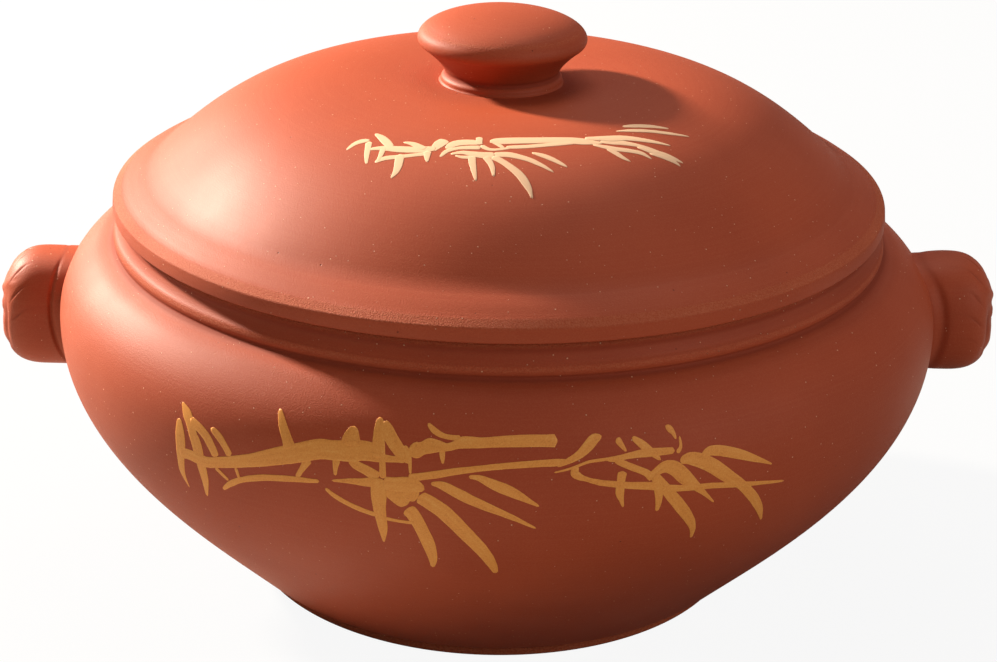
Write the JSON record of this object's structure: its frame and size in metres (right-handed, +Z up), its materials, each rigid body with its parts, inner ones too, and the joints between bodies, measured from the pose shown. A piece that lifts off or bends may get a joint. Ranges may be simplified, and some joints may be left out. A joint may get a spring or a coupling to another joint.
{
  "type": "clay steam pot",
  "caption": "Round unglazed red clay steam pot on a low foot, with a hollow steam chimney inside, beast-head lug handles and a flanged domed lid with a disc knob.",
  "frame": {"origin": "centre of the foot ring's underside, on the surface that the pot stands on", "axes": "+Z up the axis of the pot, +X towards the right-hand lug, -Y towards the decorated front"},
  "size_m": [0.287, 0.25, 0.1631],
  "materials": {
    "burnished_red_clay": "unglazed red clay, burnished to a satin",
    "bare_red_clay": "unglazed red clay, matte and slightly sandy",
    "ochre_slip": "matte ochre slip, brushed on"
  },
  "bodies": {
    "pot": {"pot_bowl": "burnished_red_clay", "foot_ring": "bare_red_clay", "steam_chimney": "bare_red_clay", "handle_left": "burnished_red_clay", "handle_right": "burnished_red_clay"},
    "lid": {"lid_dome": "burnished_red_clay", "lid_locating_ring": "bare_red_clay", "lid_knob": "burnished_red_clay"}
  },
  "joints": [
    {"name": "lid_lift", "type": "slide", "parent": "pot", "child": "lid", "axis": [0, 0, 1], "range_m": [0, 0.15]}
  ]
}
